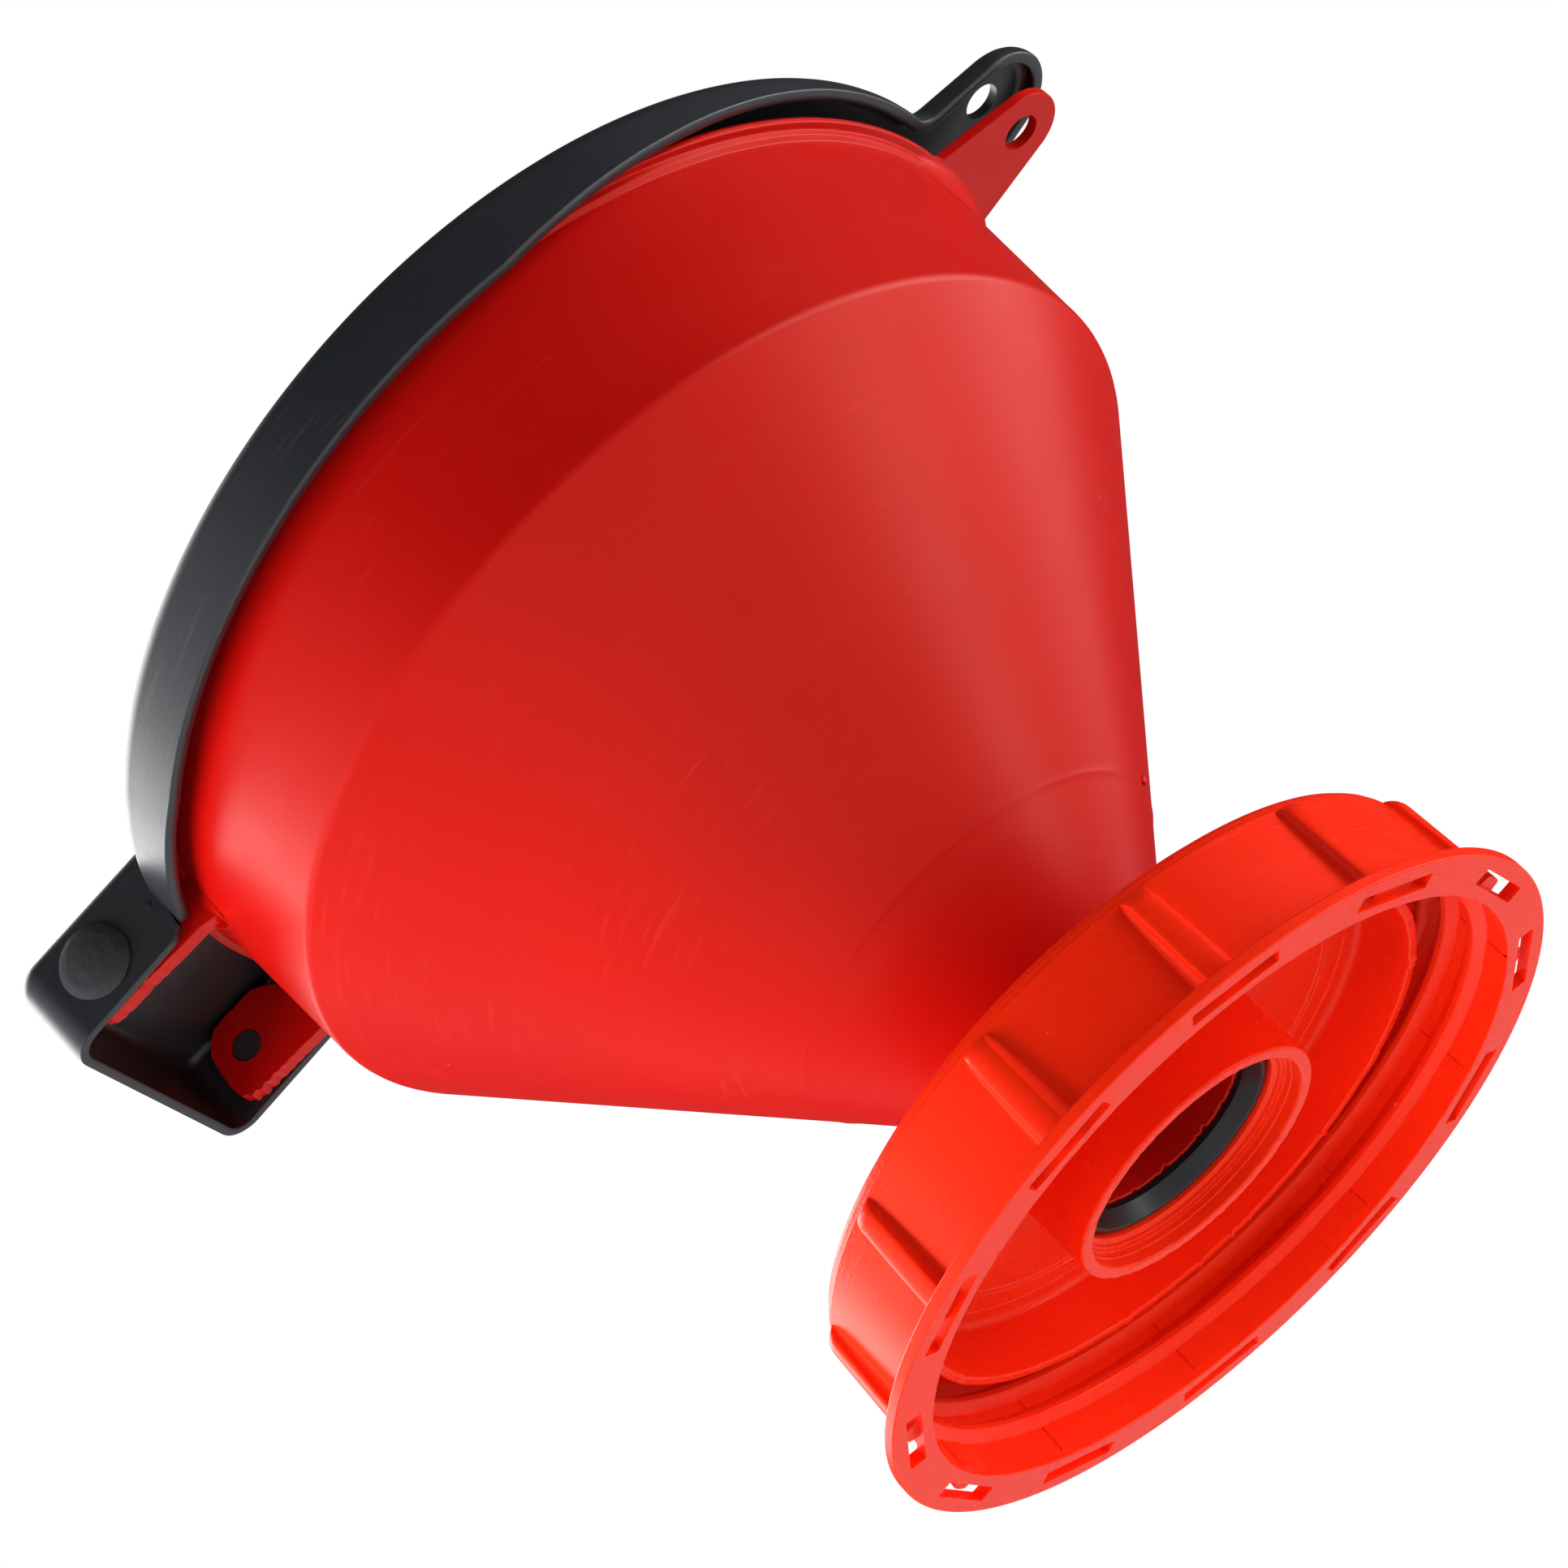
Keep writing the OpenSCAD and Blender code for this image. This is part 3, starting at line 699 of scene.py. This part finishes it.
def grip_ribs():
    """Grip ribs with hollow flanks and domed upper ends, leaning in with the wall."""
    end = 4.0
    dome_z = RIB_TOP - end * (1 - np.sin(np.linspace(0, math.pi / 2, 9)[1:]))
    ribs = []
    for i in range(RIBS):
        rings = []
        for z in [*np.linspace(1.9, RIB_TOP - end, 9), *dome_z]:
            dome = math.sqrt(max(0.0, 1 - max(0.0, (z - RIB_TOP + end) / end) ** 2))
            height = (4.1 - 0.042 * (z - 2)) * dome
            share = 0.35 + 0.65 * max(0.0, 1 - z / RIB_TOP) ** 0.5 * dome
            rings.append(at_height(rib_section(max(height, 0.05), share), z))
        ribs.append(place(loft("rib", rings), rib_turn(i)))
    return join(ribs)


def flange_slots():
    """Cutters for the slots at the foot of each rib."""
    outline = rounded([(SLOT_IN_R, -SLOT_HALF, 0.4), (SLOT_OUT_R, -SLOT_HALF, 0.4),
                       (SLOT_OUT_R, SLOT_HALF, 0.4), (SLOT_IN_R, SLOT_HALF, 0.4)], 3)
    rings = [at_height(outline, z) for z in (-2.0, FLANGE_T + 0.9)]
    return join([place(loft("slot", rings), rib_turn(i)) for i in range(RIBS)])


def cap_moulding(material):
    cap = cap_shell()
    cut(cap, flange_slots())
    add(cap, grip_ribs())
    add(cap, cap_thread())
    cap.name = "cap_moulding"
    return finish_piece(cap, material, "cap", "screw_cap", 34)


def seal_ring(material):
    """Lipped seal round the spout's end."""
    lip_r, out_r, bore_r = SPOUT_IN_R + 0.5, POCKET_R - 0.65, SPOUT_R + 0.02
    low, seat, high = POCKET_LOW + 0.75, SPOUT_END - 0.05, POCKET_TOP - 0.45
    outline = rounded([(lip_r, 21.1, 0.3), (26.0, low, 0.5), (out_r, low, 0.55), (out_r, high, 0.4),
                       (bore_r, high, 0.3), (bore_r, seat, 0.1), (lip_r, seat, 0.2)], 7)
    seal = revolve("seal_ring", outline, 256)
    return finish_piece(seal, material, "funnel", "outlet_seal")


def neck_gasket(material):
    """Flat foam ring in the groove between the sealing ring and the wall, under the roof."""
    inner, outer, low, high = RING_R + 0.9, RING_R + 6.7, CAP_ROOF - 2.15, CAP_ROOF - 0.05
    outline = rounded([(inner, low, 0.5), (outer, low, 0.5), (outer, high, 0.3), (inner, high, 0.3)], 5)
    gasket = revolve("neck_gasket", outline, 256)
    return finish_piece(gasket, material, "cap", "tank_gasket")


# ---------------------------------------------------------------- studio

# metres and degrees
VIEW_AT, VIEW_TURN, LENS = Vector((0.0156, -0.8751, -0.3046)), (126.371, 39.063, 26.233), 95.9
MIDDLE = Vector((0.0, 0.0, 0.12))
DARK_FRONT = 0.05
# direction, where its soft edge starts and ends as a share of that direction, and strength
GLOWS = [((-0.58, 0.45, 0.68), 0.86, 0.98, 4.0), ((-0.95, -0.20, -0.10), 0.35, 0.95, 0.8),
         ((0.80, -0.02, -0.60), 0.50, 0.92, 7.0), ((0.0, 0.887, -0.46), 0.80, 0.97, 0.6),
         ((-0.10, 0.10, -0.99), 0.45, 0.95, 0.6)]


def camera():
    """Seen from below the cap, as it is held up to the light."""
    data = bpy.data.cameras.new("camera")
    data.lens, data.sensor_width = LENS, 36.0
    data.clip_start, data.clip_end = 0.05, 50.0
    obj = bpy.data.objects.new("camera", data)
    obj.location = VIEW_AT
    obj.rotation_euler = [math.radians(angle) for angle in VIEW_TURN]
    bpy.context.scene.collection.objects.link(obj)
    bpy.context.scene.camera = obj


def soft_box(name, direction, distance, size, power, glossy=True):
    """Area light that faces the object from a direction. glossy: whether it shows in reflections."""
    data = bpy.data.lights.new(name, "AREA")
    data.shape = "RECTANGLE"
    data.size, data.size_y = size
    data.energy = power
    obj = bpy.data.objects.new(name, data)
    obj.visible_glossy = glossy
    way = Vector(direction).normalized()
    obj.location = MIDDLE + way * distance
    obj.rotation_euler = way.to_track_quat("Z", "Y").to_euler()
    bpy.context.scene.collection.objects.link(obj)


def studio():
    """Soft directional glows round a dark front, seen as plain white by the camera, and four area lights."""
    world = bpy.data.worlds.new("studio")
    world.use_nodes = True
    tree = world.node_tree
    sky = tree.nodes["Background"]

    def node(kind, operation, a, b):
        made = tree.nodes.new(kind)
        made.operation = operation
        for socket, value in zip(made.inputs, (a, b)):
            if isinstance(value, bpy.types.NodeSocket):
                tree.links.new(value, socket)
            else:
                socket.default_value = value
        return made.outputs["Value"]

    def patch(direction, start, end, level):
        """Glow of one side: level where the direction's share is over end, none under start."""
        share = node("ShaderNodeVectorMath", "DOT_PRODUCT", way, direction)
        made = tree.nodes.new("ShaderNodeMapRange")
        made.interpolation_type = "SMOOTHSTEP"
        for key, value in (("From Min", start), ("From Max", end), ("To Min", 0.0), ("To Max", level)):
            made.inputs[key].default_value = value
        tree.links.new(share, made.inputs["Value"])
        return made.outputs["Result"]

    way = tree.nodes.new("ShaderNodeTexCoord").outputs["Generated"]
    total = DARK_FRONT
    for direction, start, end, level in GLOWS:
        total = node("ShaderNodeMath", "ADD", patch(direction, start, end, level), total)
    seen = tree.nodes.new("ShaderNodeLightPath").outputs["Is Camera Ray"]
    lit = node("ShaderNodeMath", "MULTIPLY", total, node("ShaderNodeMath", "SUBTRACT", 1.0, seen))
    tree.links.new(node("ShaderNodeMath", "ADD", lit, seen), sky.inputs["Strength"])
    sky.inputs["Color"].default_value = (1, 1, 1, 1)
    bpy.context.scene.world = world
    bpy.context.scene.view_settings.view_transform = "Standard"
    soft_box("key_box", (0.75, -0.1, -0.60), 1.5, (0.25, 0.9), 3)
    soft_box("left_fill", (-1.0, -0.28, 0.0), 1.5, (0.9, 1.2), 33, False)
    soft_box("low_fill", (0.30, 0.0, -0.98), 1.5, (1.0, 1.0), 17, False)
    soft_box("right_fill", (0.95, -0.15, -0.20), 1.5, (0.8, 1.0), 9, False)


def floor():
    """Plain pale floor, well below the part, which is held in the air."""
    half = 6000
    square = [(-half, -half), (half, -half), (half, half), (-half, half)]
    obj = loft("floor", [at_height(square, z) for z in (-1010, -1000)])
    m = Nodes("floor")
    m.feed(m.shader, "Base Color", m.mix(m.ramp(m.noise(4.0), 0.3, 0.7), (0.86,) * 3, (0.84,) * 3))
    m.shader.inputs["Roughness"].default_value = 0.9
    obj.data.materials.append(m.material)


camera()
funnel_body(red_plastic())
lid_moulding(black_plastic())
pin_look = pin_plastic()
hinge_pin("pin_front", "hinge_pin_front", -1, pin_look)
hinge_pin("pin_rear", "hinge_pin_rear", 1, pin_look)
cap_moulding(cap_plastic())
seal_ring(seal_rubber())
neck_gasket(gasket_foam())
studio()
floor()
